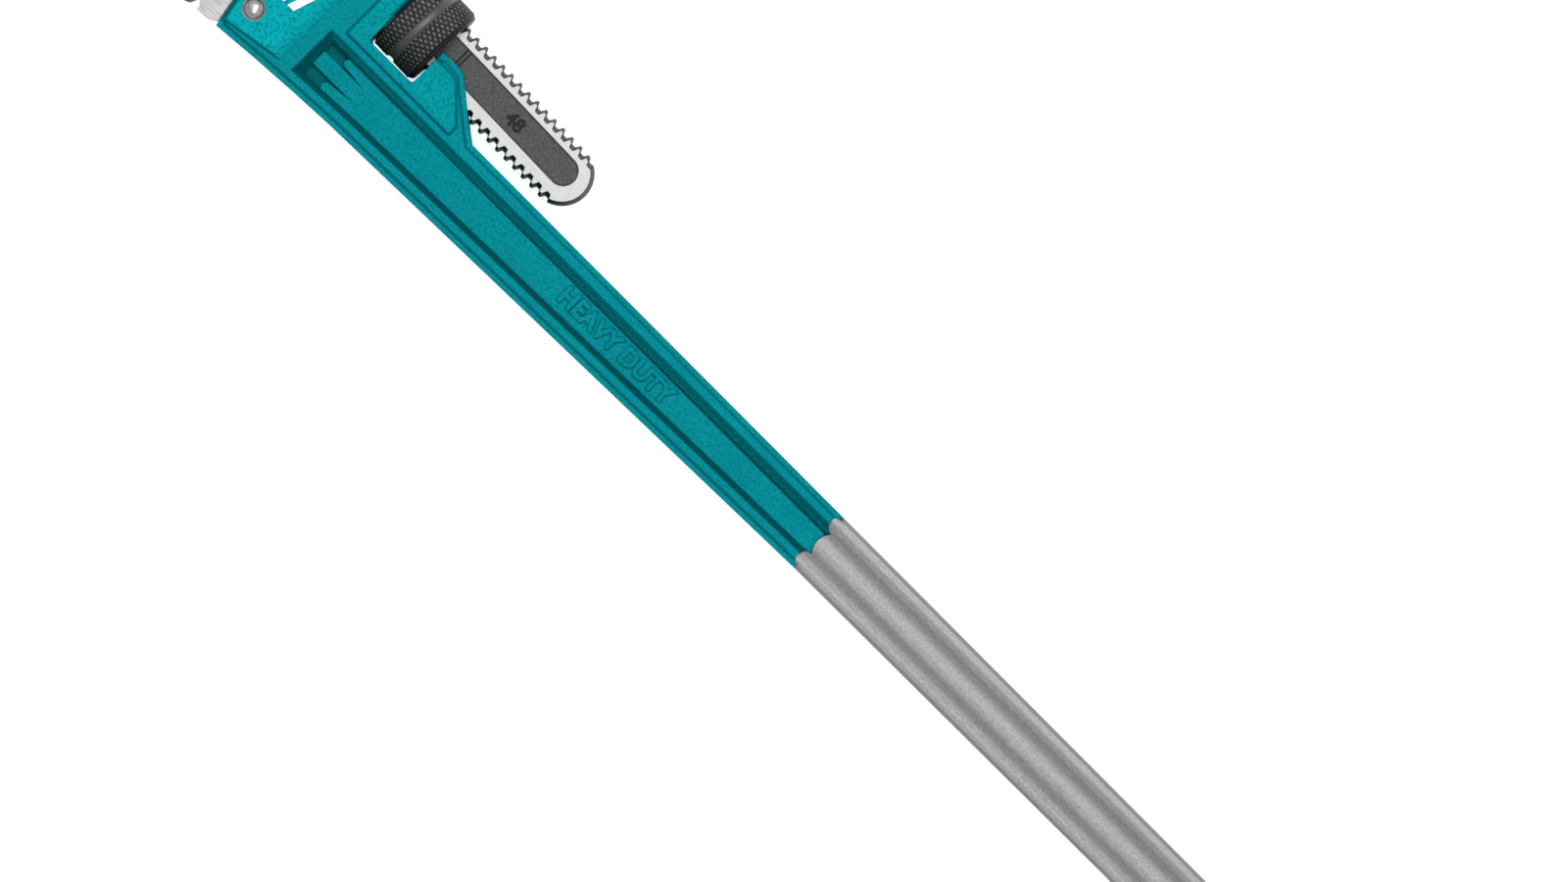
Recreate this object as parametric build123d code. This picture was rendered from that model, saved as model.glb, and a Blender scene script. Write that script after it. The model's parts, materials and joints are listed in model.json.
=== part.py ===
from build123d import *
import os
from math import atan2, cos, degrees, pi, radians, sin, sqrt, tan

# Straight pipe wrench, 48 inch class, lying on its side.
#
# Bench frame used while building: X runs along the handle, away from the jaws, with x = 0 at
# the lower end of the heel jaw's teeth; Y points from the handle towards the hook jaw's shank,
# with y = 0 on the middle of the grip; Z is the thickness, with z = 0 on the mid-plane.
# Every piece is moved on export, so that the origin is the middle of the hang hole.

# ---- handle casting
HANDLE_REACH = 1148.0       # heel jaw's teeth to the tail end
TAIL_HALF_HEIGHT = 22.3     # half the handle's height at the tail
GRIP_DROP = 24.4            # lower edge below y = 0, where the grip starts
NECK_DROP = 33.8            # lower edge below y = 0, at NECK_X, where the head's curve ends
NECK_X = 156.0
HEAD_DROP = 41.5            # lower edge below y = 0, at the heel jaw's seat
HANDLE_TOP = 24.2           # upper edge above y = 0, behind the housing
SHOULDER_Z = 15.5           # half thickness of the outer border
FACE_Z = 18.0               # half thickness of the flange faces
PAD_Z = 20.5                # half thickness of the two raised pads on the housing
BORDER = 3.6                # width of the outer border
STEP_CHAMFER = 2.0          # slope between border and flange face
PAD_CHAMFER = 2.2           # slope round the raised pads

# ---- channel in each side of the handle
FLANGE = 10.2               # height of the lower flange
HEAD_FLANGE = 11.9          # height of the upper flange at the channel's head end
GRIP_FLANGE = 9.5           # height of the upper flange at the grip and beyond
WEB_HALF = 6.5              # half thickness of the web
LOWER_DRAFT = 4.2           # how far the channel's lower wall leans in, from face to web
UPPER_DRAFT = 6.3           # its upper wall
END_DRAFT = 6.7             # and its head-end wall
CHANNEL_X = 77.3            # head end of the channel
RIB_TOP = -1.7              # rib at the channel's head end
RIB_BOTTOM = -13.0
RIB_END_X = 121.3           # where the rib runs out into the web
PIT_END_X = 98.0            # where the web rises beside the rib
PIT_DEPTH = 4.5             # how far the two pits go below the web's face
PIT_LIP = 1.5               # how far a pit reaches on along the channel's wall
PIT_BOW = 1.0               # how far its end bows towards that wall
PIT_NECK = 2.0              # length of its neck beside the rib
PIT_MOUTH = 2.4             # width of its groove there

# ---- housing round the shank
WINDOW_CORNER = 2.4         # nut window's lower corners
ROOF_WALL = 13.5            # loop's wall over the shank
LOOP_LEAN = 17.0            # how far the loop's front leans back over its height
LUG_TOP_Y = 55.0            # top of the rear lug's cheeks
LUG_FLAT = 15.2             # lengths from the nut window: end of the lug's flat top
LUG_SHOULDER = 20.9         # end of its rounded shoulder
LUG_SHOULDER_DROP = 1.7     # how far that shoulder falls
LUG_SLOPE = 48.2            # end of its long slope
LUG_SLOPE_Y = 31.2
LUG_FOOT = 57.5             # where it runs out into the handle
PAD_BORDER = 6.0            # border left round the raised pads
PAD_AHEAD = 15.7            # window pad's reach ahead of the nut window
PAD_BEHIND = 43.2           # window pad's reach behind the nut window
PAD_BELOW = 8.2             # window pad's reach below the nut window's floor
HEAD_PAD_X1 = 68.0          # head pad's tail end
HEAD_PAD_SLOPE = 6.7        # length of the easy slope at that end
ROOF_ROUND = 9.0            # cut across the loop's front upper corner
ROOF_FALL = 6.0             # cut across its rear upper corner
SEAT_MARGIN = 1.5           # head pad's edge behind the heel jaw's seat

# ---- jaws
FACE_LEAN = 10.0            # degrees that both toothed faces lean towards the hook's back
HEEL_THICK = 19.3           # heel jaw, teeth to seat
HEEL_TOP = 30.0             # upper end of the heel jaw
HEEL_HALF_WIDTH = 17.0
TONGUE_HALF_WIDTH = 8.0
TONGUE_REACH = 45.0         # x of the tongue's end inside the housing
TONGUE_LOW = -31.0
TONGUE_HIGH = 6.0
TOOTH_PITCH = 5.0
TOOTH_DEPTH = 2.6
TOOTH_CREST = 0.82          # where a tooth's crest stands along its pitch
TOOTH_FLAT = 0.5            # width of the crest
TOE_DROP = 3.0              # heel jaw's toe below the casting
TOE_X = 11.0                # where the toe is lowest, from the tooth line
TOE_FRONT = 2.2             # how far the toe drops at the teeth
TOE_BACK = 0.5              # and how far above the casting's edge it ends at the seat
HEEL_CHAMFER = 0.8
PIN_X = 30.2
PIN_Y = -15.3
PIN_R = 6.0
PIN_DOME = 1.2              # how far the peened ends stand out
PIN_SINK = 2.0              # width of the bare countersink round the pin
MOUTH_GAP = 3.2             # teeth to teeth at rest
HOOK_HALF_WIDTH = 14.0      # hook's head
HOOK_LOW = -46.0            # lower tip of the hook
HOOK_BACK = 52.0            # hook's back, ahead of the heel jaw's teeth
HOOK_CHAMFER = 1.6
HOOK_TIP_RISE = 3.0         # hook's lowest tooth above its tip
HOOK_TIP_LENGTH = 9.0       # blunt end of the hook's tip
HOOK_ROOM = 4.0             # heel jaw's upper end above the hook's last tooth
HOOK_CURVE = ((8.0, 70.0), (0.0, 34.0), (12.0, -8.0))   # behind the back's line, and height
HOOK_BELLY_X = -26.0        # where the back turns under to the tip
BROW_X = -14.0              # where the hook's back meets the shank
BROW_RISE = 2.0             # and how far it stands above it
THROAT_DIP = 2.4            # how far the throat bows below the shank
THROAT_GAP = 2.0            # throat's end ahead of the casting
THROAT_LAP = 3.0            # how far the hook's head runs on into the shank

# ---- threaded shank and nut
SHANK_TILT = 1.55           # degrees, tail end towards the handle
NUT_X = 121.3               # middle of the nut
NUT_Y = 57.3
CREST_R = 22.27             # thread's outer radius: half the shank's height
ROOT_R = 18.9               # thread's inner radius
PITCH = 25.4 / 3
CREST_FLAT = 0.24           # width of the thread's crest, as a share of the pitch
ROOT_FLAT = 0.36            # and of its root
SHANK_HALF_WIDTH = 10.5
SHANK_CHAMFER = 1.2
THREAD_RUNOUT = 1.5         # thread's reach ahead of the nut at rest
THREAD_SWEEP = 62.0         # degrees that a groove runs to each side of the shank's edge
SHANK_END = 157.5           # from the nut's middle to the shank's end
RECESS_HALF = 10.2          # half height of the long recess in each side of the shank
RECESS_RISE = 1.7           # recess's middle line above the shank's axis
RECESS_DEPTH = 1.3
RECESS_MARGIN = 12.5        # from the recess's round end to the shank's end
RECESS_START = -95.0
NUT_R = 31.6
NUT_LENGTH = 37.3
NUT_CHAMFER = 2.4           # fall of the nut's two shoulders
NUT_HEAD_SHOULDER = 1.8     # length of the shoulder at the nut's head end
NUT_TAIL_SHOULDER = 4.0     # and at its tail end
RIDGE_STEPS = 18            # sections in each turn of the nut's thread
RIDGE_ROOT = 0.6            # how far its thread is let into the nut
RIDGE_TRIM = 0.5            # turns left off it
WAIST_DEPTH = 1.7           # smooth band between the nut's two grip bands
WAIST_WIDTH = 6.7
WAIST_OFFSET = -2.0         # waist's middle from the nut's middle

# ---- springs
LEAF_THICK = 1.5
LEAF_HALF_WIDTH = 8.0
LEAF_PIN_R = 2.0
LEAF_PIN_X = 90.0
LEAF_REACH = 56.0           # from the leaf's pin to its free end
COIL_R = 6.5
COIL_WIRE_R = 1.0
COIL_X = 60.0
COIL_TURNS = 3.0
COIL_PITCH = 3.3
LEAF_SAG = 1.2              # how far the leaf bows away from the shank
LEAF_TIP_GAP = 0.1          # extra gap at its free end

# ---- grip and hang hole
GRIP_LENGTH = 590.0
GRIP_WALL = 2.6
GRIP_Z = 18.0               # half thickness over the two outer lobes
GRIP_VALLEY_Z = 11.5
GRIP_CENTRE_Z = 16.0
GRIP_EDGE_Z = 9.5           # where the grip's edges start to round
GRIP_EDGE_IN = 1.6          # and how far they have come in there
LOBE_Y = 16.2
VALLEY_Y = 9.6
SCALLOP = 5.0               # how far the front edge's outer lobes reach ahead of the grip's start
MIDDLE_LOBE = 2.0           # and its middle lobe
NOTCH = 2.0                 # how far the notches between them go back
EYE_LENGTH = 62.0           # flat eye at the tail
EYE_Z = 14.0
EYE_ROUND = 7.0             # rounded edges of the eye
EYE_LAP = 8.0               # how far the lobes run on into the eye
CORE_GAP = 1.0              # casting below the grip's valleys
HANG_R = 9.0
HANG_INSET = 24.0           # tail end to the hang hole's middle

# ---- clearances
SLIDE_GAP = 0.6             # shank in its housing, each side
ROCK_GAP = 0.9              # over the shank, for its rocking
THREAD_GAP = 0.4            # nut's thread on the shank's
NUT_GAP_HEAD = 1.65         # nut to the window's two ends
NUT_GAP_TAIL = 1.85
NUT_GAP_FLOOR = 0.8         # nut to the window's floor
SEAT_GAP = 0.15             # heel jaw's tongue in its slot
PIN_GAP = 0.05              # pins in their holes
PIN_SEAT = 3.0              # how deep the leaf spring's pin is let into each side wall
PIN_END_GAP = 0.2           # and its end play there
LUG_GAP = 3.0               # under the shank, between the lug's cheeks
SPRING_GAP = 0.35           # springs to the shank
LEAF_ROOM = 5.9             # space under the shank for the leaf spring
COIL_ROOM = 0.6             # coil spring in its pocket
LAP = 1.0                   # how far a cut or a joined piece runs past the face it meets

LEAN = radians(FACE_LEAN)
HANG_X = HANDLE_REACH - HANG_INSET
GRIP_X = HANDLE_REACH - GRIP_LENGTH
WINDOW_X0 = NUT_X - NUT_LENGTH / 2 - NUT_GAP_HEAD
WINDOW_X1 = NUT_X + NUT_LENGTH / 2 + NUT_GAP_TAIL
WINDOW_FLOOR = NUT_Y - NUT_R - NUT_GAP_FLOOR
SHANK_PLACE = Location((NUT_X, NUT_Y, 0), (0, 0, -SHANK_TILT))
BACK = 400.0                # reach of cutting blocks that run right out of the part


def prism(points, half_z):
    """A straight-sided outline, extruded both ways from the mid-plane."""
    return extrude(make_face(Polyline(*points, close=True)), half_z, both=True)


def both_faces(part):
    """The part and its mirror image on the other side of the mid-plane."""
    return part + mirror(part, about=Plane.XY)


def block(x0, x1, y0, y1, half_z):
    """A box between two X and two Y values, centred on the mid-plane."""
    return Pos((x0 + x1) / 2, (y0 + y1) / 2, 0) * Box(x1 - x0, y1 - y0, 2 * half_z)


def shank_axis_y(x):
    """Height of the shank's axis at x, in its rest position."""
    return NUT_Y - (x - NUT_X) * tan(radians(SHANK_TILT))


def leaning_x(y, ahead=0.0):
    """X of the heel jaw's tooth line at height y, moved ahead (towards the hook) square to it."""
    return -(y + HEAD_DROP) * tan(LEAN) - ahead / cos(LEAN)


def lower_y(x):
    """The casting's lower edge: a curve from the head to the neck, then two straight tapers."""
    if x < NECK_X:
        seat_x = leaning_x(-HEAD_DROP, -HEEL_THICK)
        share = (NECK_X - x) / (NECK_X - seat_x)
        taper = (NECK_DROP - GRIP_DROP) / (GRIP_X - NECK_X) * (NECK_X - x)
        bulge = HEAD_DROP - NECK_DROP - (NECK_DROP - GRIP_DROP) / (GRIP_X - NECK_X) * (NECK_X - seat_x)
        return -NECK_DROP - taper - bulge * share ** 2
    if x < GRIP_X:
        return -NECK_DROP + (NECK_DROP - GRIP_DROP) * (x - NECK_X) / (GRIP_X - NECK_X)
    return -GRIP_DROP + (GRIP_DROP - TAIL_HALF_HEIGHT) * (x - GRIP_X) / (HANDLE_REACH - GRIP_X)


def lower_edge(lift, start, end):
    """The handle's lower edge, lifted by some height, from start to end."""
    middle = (start + NECK_X) / 2
    spots = [(x, lower_y(x) + lift) for x in (start, middle, NECK_X, GRIP_X, end)]
    return [ThreePointArc(*spots[:3]), Line(*spots[2:4]), Line(*spots[3:5])]


# ---------------------------------------------------------------- handle casting

def housing_top():
    """Height of the housing's roof, over the shank where it sits highest."""
    return shank_axis_y(0.0) + CREST_R + ROCK_GAP + ROOF_WALL


def head_outline():
    """Points of the casting's outline, from the heel jaw's seat over the housing to the lug."""
    top = housing_top()
    seat_top = (leaning_x(HEEL_TOP, -HEEL_THICK), HEEL_TOP)
    front_top = seat_top[0] + LOOP_LEAN
    return [
        (leaning_x(-HEAD_DROP, -HEEL_THICK), -HEAD_DROP),
        seat_top,
        (front_top, top - ROOF_ROUND),
        (front_top + ROOF_ROUND, top),
        (WINDOW_X0 - ROOF_FALL, top),
        (WINDOW_X0, top - ROOF_FALL),
        (WINDOW_X0, WINDOW_FLOOR + 2 * WINDOW_CORNER),
        (WINDOW_X1, WINDOW_FLOOR + 2 * WINDOW_CORNER),
        (WINDOW_X1, LUG_TOP_Y),
        (WINDOW_X1 + LUG_FLAT, LUG_TOP_Y),
        (WINDOW_X1 + LUG_SHOULDER, LUG_TOP_Y - LUG_SHOULDER_DROP),
        (WINDOW_X1 + LUG_SLOPE, LUG_SLOPE_Y),
        (WINDOW_X1 + LUG_FOOT, HANDLE_TOP),
    ]


def casting_face():
    """Side view of the whole casting, from the heel jaw's seat to the tail."""
    points = head_outline()
    upper = Polyline(*points, (HANDLE_REACH, TAIL_HALF_HEIGHT), (HANDLE_REACH, -TAIL_HALF_HEIGHT))
    return make_face([upper] + lower_edge(0.0, points[0][0], HANDLE_REACH))


def channel():
    """The channel in the +Z side, between flanges whose walls lean in towards the web."""
    faces = []
    for level, depth in ((FACE_Z, 0.0), (WEB_HALF, 1.0)):
        lean = depth * UPPER_DRAFT
        x0 = CHANNEL_X + depth * END_DRAFT
        x1 = HANDLE_REACH - EYE_LENGTH - depth * LOWER_DRAFT
        low = lower_edge(FLANGE + depth * LOWER_DRAFT, x0, x1)
        head_top = HANDLE_TOP - HEAD_FLANGE - lean
        grip_top = edge_heights(GRIP_X)[0] - GRIP_FLANGE - lean
        tail_top = TAIL_HALF_HEIGHT - GRIP_FLANGE - lean
        rest = Polyline(low[-1] @ 1, (x1, tail_top), (GRIP_X, grip_top), (x0, head_top), low[0] @ 0)
        faces.append(Pos(0, 0, level) * make_face(low + [rest]))
    return loft(faces, ruled=True) + extrude(faces[0], PAD_Z, dir=(0, 0, 1))


def pits():
    """Two pits beside the rib at the channel's head end; each narrows into a groove."""
    x0 = CHANNEL_X + END_DRAFT
    wall_top = HANDLE_TOP - HEAD_FLANGE - UPPER_DRAFT
    wall_low = lower_y(x0) + FLANGE + LOWER_DRAFT
    depth = Pos(0, 0, WEB_HALF - PIT_DEPTH)
    cutters = []
    for rib, wall in ((RIB_TOP, wall_top), (RIB_BOTTOM, wall_low)):
        side = 1.0 if wall > rib else -1.0
        outline = Polyline((x0, rib), (x0, wall), (PIT_END_X + PIT_LIP, wall),
                           (PIT_END_X, (rib + wall) / 2 + PIT_BOW * side),
                           (PIT_END_X + PIT_NECK, rib + PIT_MOUTH * side), (RIB_END_X, rib), close=True)
        cutters.append(depth * extrude(make_face(outline), FACE_Z))
    return cutters


def raised_pads():
    """The two raised pads on the housing's faces: head pad and window pad."""
    top = housing_top()
    foot = PAD_BORDER - HEAD_DROP
    seat_low = leaning_x(foot, -HEEL_THICK) + SEAT_MARGIN
    seat_high = leaning_x(HEEL_TOP, -HEEL_THICK) + SEAT_MARGIN
    front = seat_high + LOOP_LEAN
    head = prism([(seat_low, foot), (seat_high, HEEL_TOP), (front, top - ROOF_ROUND - PAD_BORDER / 2),
                  (front + ROOF_ROUND, top - PAD_BORDER), (HEAD_PAD_X1, top - PAD_BORDER),
                  (HEAD_PAD_X1, PAD_BORDER - NECK_DROP)], PAD_Z)
    head = soften(head, PAD_CHAMFER) - both_faces(head_pad_slope())
    low = WINDOW_FLOOR - PAD_BELOW
    x0, x1 = WINDOW_X0 - PAD_AHEAD, WINDOW_X1 + PAD_BEHIND
    lug_y = LUG_TOP_Y - PAD_BORDER
    window = prism([(x0, low), (x0, top - PAD_BORDER), (WINDOW_X0, top - PAD_BORDER), (WINDOW_X0, lug_y),
                    (WINDOW_X1 + LUG_FLAT, lug_y),
                    (WINDOW_X1 + LUG_SHOULDER, lug_y - LUG_SHOULDER_DROP),
                    (x1, LUG_SLOPE_Y - PAD_BORDER), (x1, low)],
                   PAD_Z)
    return [head, soften(window, PAD_CHAMFER)]


def soften(part, size):
    """Chamfers the rims of a plate's two flat faces."""
    rims = part.faces().filter_by(Plane.XY).edges()
    return chamfer(rims, size)


def head_pad_slope():
    """The wedge cut off the head pad's tail end, which makes its easy slope."""
    wedge = make_face(Polyline((HEAD_PAD_X1 - HEAD_PAD_SLOPE, PAD_Z), (HEAD_PAD_X1, FACE_Z),
                               (HEAD_PAD_X1 + LAP, FACE_Z), (HEAD_PAD_X1 + LAP, PAD_Z + LAP),
                               (HEAD_PAD_X1 - HEAD_PAD_SLOPE, PAD_Z + LAP), close=True))
    return Rot(90, 0, 0) * extrude(wedge, BACK / 2, both=True)


def shank_passage():
    """The way through the loop for the shank and its leaf spring."""
    low = shank_axis_y(WINDOW_X0) - CREST_R - LEAF_ROOM
    high = housing_top() - ROOF_WALL
    return block(-BACK / 4, WINDOW_X0 + LAP, low, high, SHANK_HALF_WIDTH + SLIDE_GAP)


def lug_slot():
    """The open slot between the rear lug's two cheeks."""
    low = shank_axis_y(WINDOW_X1 + LUG_FOOT) - CREST_R - LUG_GAP
    return block(WINDOW_X1 - LAP, WINDOW_X1 + LUG_FOOT + LAP, low, BACK / 4, SHANK_HALF_WIDTH + SLIDE_GAP)


def heel_tongue(gap):
    """The heel jaw's tongue, or with a gap the slot that takes it."""
    root_low = leaning_x(TONGUE_LOW, -HEEL_THICK) - LAP
    root_high = leaning_x(TONGUE_HIGH, -HEEL_THICK) - LAP
    return prism([(root_low, TONGUE_LOW - gap), (root_high, TONGUE_HIGH + gap),
                  (TONGUE_REACH + gap, TONGUE_HIGH + gap), (TONGUE_REACH + gap, TONGUE_LOW - gap)],
                 TONGUE_HALF_WIDTH + gap)


def leaf_pin_y():
    """Height of the leaf spring's pin: its eye sits just under the shank."""
    return shank_axis_y(LEAF_PIN_X) - CREST_R / cos(radians(SHANK_TILT)) - SPRING_GAP \
        - LEAF_THICK - LEAF_PIN_R - PIN_GAP


def leaf_pocket():
    """The cross groove under the shank passage that holds the leaf spring's pin and eye."""
    radius = LEAF_PIN_R + PIN_GAP + LEAF_THICK + SPRING_GAP
    half = SHANK_HALF_WIDTH + SLIDE_GAP
    round_end = Pos(LEAF_PIN_X, leaf_pin_y(), 0) * Cylinder(radius, 2 * half)
    mouth = block(LEAF_PIN_X - radius, LEAF_PIN_X + radius, leaf_pin_y(), leaf_pin_y() + LEAF_ROOM, half)
    return round_end + mouth


def leaf_pin_seats():
    """Blind seats in both side walls for the ends of the leaf spring's pin."""
    reach = SHANK_HALF_WIDTH + SLIDE_GAP + PIN_SEAT
    return Pos(LEAF_PIN_X, leaf_pin_y(), 0) * Cylinder(LEAF_PIN_R + PIN_GAP, 2 * reach)


def coil_pocket():
    """The blind pocket in the loop's roof for the coil spring."""
    depth = coil_height() + SPRING_GAP
    floor = shank_axis_y(COIL_X) + CREST_R
    return Pos(COIL_X, floor + depth / 2, 0) * Rot(90, 0, 0) * Cylinder(COIL_R + COIL_ROOM, depth)


def nut_window():
    """The window for the nut, open at the top, with rounded lower corners."""
    cut = block(WINDOW_X0, WINDOW_X1, WINDOW_FLOOR, BACK / 4, 2 * PAD_Z)
    lower = cut.edges().filter_by(Axis.Z).sort_by(Axis.Y)[:2]
    return fillet(lower, WINDOW_CORNER)


def heel_pin_hole():
    """The heel jaw pin's hole, countersunk in both faces."""
    sink = PIN_SINK + PIN_GAP
    hole = Cylinder(PIN_R + PIN_GAP, 4 * PAD_Z)
    cone = Pos(0, 0, PAD_Z - sink / 2) * Cone(PIN_R + PIN_GAP, PIN_R + PIN_GAP + sink, sink)
    return Pos(PIN_X, PIN_Y, 0) * (hole + both_faces(cone))


def rails(face):
    """The raised flange faces inside the casting's outer border."""
    inner = offset(face, -BORDER, kind=Kind.INTERSECTION)
    plate = extrude(inner, FACE_Z, both=True)
    return soften(plate, STEP_CHAMFER)


def casting_blank():
    """The casting before any hole: border, flange faces, channels and pads."""
    face = casting_face()
    border = extrude(face, SHOULDER_Z, both=True)
    blank = border + rails(face)
    blank = blank + raised_pads()
    blank = blank - both_faces(channel())
    for pit in pits():
        blank = blank - both_faces(pit)
    return blank


def handle():
    """The handle casting with its housing, cored under the grip."""
    part = casting_blank() - nut_window()
    part = part - shank_passage() - lug_slot() - heel_tongue(SEAT_GAP) - heel_pin_hole()
    part = part - leaf_pocket() - leaf_pin_seats() - coil_pocket()
    core = part & grip_core()
    square_tail = block(GRIP_X + 2 * SCALLOP, HANDLE_REACH + LAP, -BACK / 4, BACK / 4, BACK / 4)
    part = (part - scalloped_plan() - square_tail) + core
    return part - hang_hole()


# ---------------------------------------------------------------- grip

def grip_section(half_height, x):
    """Three-lobed outline of the grip, square to the handle at x."""
    scale = half_height / TAIL_HALF_HEIGHT
    quarter = [(half_height, 0.0), (half_height - GRIP_EDGE_IN, GRIP_EDGE_Z), (LOBE_Y * scale, GRIP_Z),
               (VALLEY_Y * scale, GRIP_VALLEY_Z), (0.0, GRIP_CENTRE_Z)]
    upper = quarter + [(-y, z) for y, z in quarter[-2::-1]]
    lower = [(y, -z) for y, z in upper[-2:0:-1]]
    outline = Spline(*upper, *lower, periodic=True)
    plane = Plane((x, 0, 0), x_dir=(0, 1, 0), z_dir=(1, 0, 0))
    return plane * make_face(outline)


def edge_heights(x):
    """The casting's upper and lower edge at x, under the grip."""
    share = (x - WINDOW_X1 - LUG_FOOT) / (HANDLE_REACH - WINDOW_X1 - LUG_FOOT)
    return HANDLE_TOP + (TAIL_HALF_HEIGHT - HANDLE_TOP) * share, lower_y(x)


def scalloped_plan():
    """Plan outline of the grip: scalloped at the front, rounded at the tail."""
    tip = GRIP_X - SCALLOP
    notch = GRIP_X + NOTCH
    high = 2 * TAIL_HALF_HEIGHT
    low = -high
    front = [Line((GRIP_X, high), (GRIP_X, TAIL_HALF_HEIGHT)),
             ThreePointArc((GRIP_X, TAIL_HALF_HEIGHT), (tip, LOBE_Y), (notch, VALLEY_Y)),
             ThreePointArc((notch, VALLEY_Y), (GRIP_X - MIDDLE_LOBE, 0.0), (notch, -VALLEY_Y)),
             ThreePointArc((notch, -VALLEY_Y), (tip, -LOBE_Y), (GRIP_X, -TAIL_HALF_HEIGHT)),
             Line((GRIP_X, -TAIL_HALF_HEIGHT), (GRIP_X, low))]
    arc_x = HANDLE_REACH - TAIL_HALF_HEIGHT
    rear = [Line((GRIP_X, low), (arc_x, low)), Line((arc_x, low), (arc_x, -TAIL_HALF_HEIGHT)),
            ThreePointArc((arc_x, -TAIL_HALF_HEIGHT), (HANDLE_REACH, 0), (arc_x, TAIL_HALF_HEIGHT)),
            Line((arc_x, TAIL_HALF_HEIGHT), (arc_x, high)), Line((arc_x, high), (GRIP_X, high))]
    return extrude(make_face(front + rear), BACK / 4, both=True)


def grip_form():
    """The grip's outer form: three long lobes that run into a flat eye."""
    start = GRIP_X - 2 * SCALLOP
    upper, lower = edge_heights(start)
    sections = [grip_section((upper - lower) / 2, start),
                grip_section(TAIL_HALF_HEIGHT, HANDLE_REACH)]
    shift = (upper + lower) / 2
    sections[0] = Pos(0, shift, 0) * sections[0]
    lobes = loft(sections, ruled=True)
    eye_start = HANDLE_REACH - EYE_LENGTH
    eye = block(eye_start, HANDLE_REACH, -TAIL_HALF_HEIGHT, TAIL_HALF_HEIGHT, EYE_Z)
    eye = fillet(eye.edges().filter_by(Axis.X), EYE_ROUND)
    valley_cut = block(eye_start + EYE_LAP, HANDLE_REACH + LAP, -BACK / 4, BACK / 4, BACK / 4)
    return (lobes - valley_cut + eye) & scalloped_plan()


def grip_core():
    """The casting's form under the grip: everything inset by the grip's wall."""
    x0 = GRIP_X - 2 * SCALLOP
    x1 = HANDLE_REACH - GRIP_WALL
    u0, l0 = edge_heights(x0)
    flange_z = GRIP_VALLEY_Z - CORE_GAP
    arc_x = HANDLE_REACH - TAIL_HALF_HEIGHT
    inset = TAIL_HALF_HEIGHT - GRIP_WALL
    outline = [Line((x0, l0 + GRIP_WALL), (x0, u0 - GRIP_WALL)),
               Line((x0, u0 - GRIP_WALL), (arc_x, inset)),
               ThreePointArc((arc_x, inset), (x1, 0), (arc_x, -inset)),
               Line((arc_x, -inset), (x0, l0 + GRIP_WALL))]
    return extrude(make_face(outline), flange_z, both=True)


def hang_hole():
    """The hole through the eye for hanging the wrench up."""
    return Pos(HANG_X, 0, 0) * Cylinder(HANG_R, 4 * EYE_Z)


def grip():
    """The moulded grip over the lower handle."""
    return grip_form() - handle() - hang_hole()


# ---------------------------------------------------------------- jaws

def tooth_row(count):
    """Saw teeth along +Y from the origin, crests at x = 0 and roots at x = TOOTH_DEPTH."""
    points = []
    for i in range(count):
        base = i * TOOTH_PITCH
        crest = base + TOOTH_CREST * TOOTH_PITCH
        points += [(TOOTH_DEPTH, base), (0.0, crest - TOOTH_FLAT / 2), (0.0, crest + TOOTH_FLAT / 2)]
    return points + [(TOOTH_DEPTH, count * TOOTH_PITCH)]


def heel_jaw():
    """The toothed heel jaw with the tongue that its pin holds."""
    length = (HEEL_TOP + HEAD_DROP) / cos(LEAN)
    count = int(length // TOOTH_PITCH)
    rest = length - count * TOOTH_PITCH
    teeth = [(x, y + rest / 2) for x, y in tooth_row(count)]
    outline = [(TOOTH_DEPTH, -TOE_FRONT)] + teeth + [(TOOTH_DEPTH, length), (HEEL_THICK, length),
                                                     (HEEL_THICK, TOE_BACK), (TOE_X, -TOE_DROP)]
    body = extrude(make_face(Polyline(*outline, close=True)), HEEL_HALF_WIDTH, both=True)
    sides = body.faces().filter_by(Plane.XY).edges().filter_by(lambda e: e.length > 2 * TOOTH_PITCH)
    body = chamfer(sides, HEEL_CHAMFER)
    place = Location((leaning_x(-HEAD_DROP), -HEAD_DROP, 0), (0, 0, FACE_LEAN))
    part = place * body + heel_tongue(0.0)
    return part - Pos(PIN_X, PIN_Y, 0) * Cylinder(PIN_R + PIN_GAP, 4 * PAD_Z)


def heel_jaw_pin():
    """The pin through housing and heel jaw, peened to a low dome at both ends."""
    rise = 2 * PIN_DOME
    dome_r = (PIN_R ** 2 + rise ** 2) / (2 * rise)
    shaft_half = PAD_Z + PIN_DOME - rise
    ball = Pos(0, 0, PAD_Z + PIN_DOME - dome_r) * Sphere(dome_r)
    dome = ball & Pos(0, 0, shaft_half + rise / 2) * Cylinder(PIN_R, rise)
    return Pos(PIN_X, PIN_Y, 0) * (Cylinder(PIN_R, 2 * shaft_half) + both_faces(dome))


def groove_half_width(radius):
    """Half the width of the thread's groove at a radius; it widens evenly from root to crest."""
    at_root = ROOT_FLAT * PITCH / 2
    at_crest = (1 - CREST_FLAT) * PITCH / 2
    return at_root + (at_crest - at_root) * (radius - ROOT_R) / (CREST_R - ROOT_R)


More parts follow.
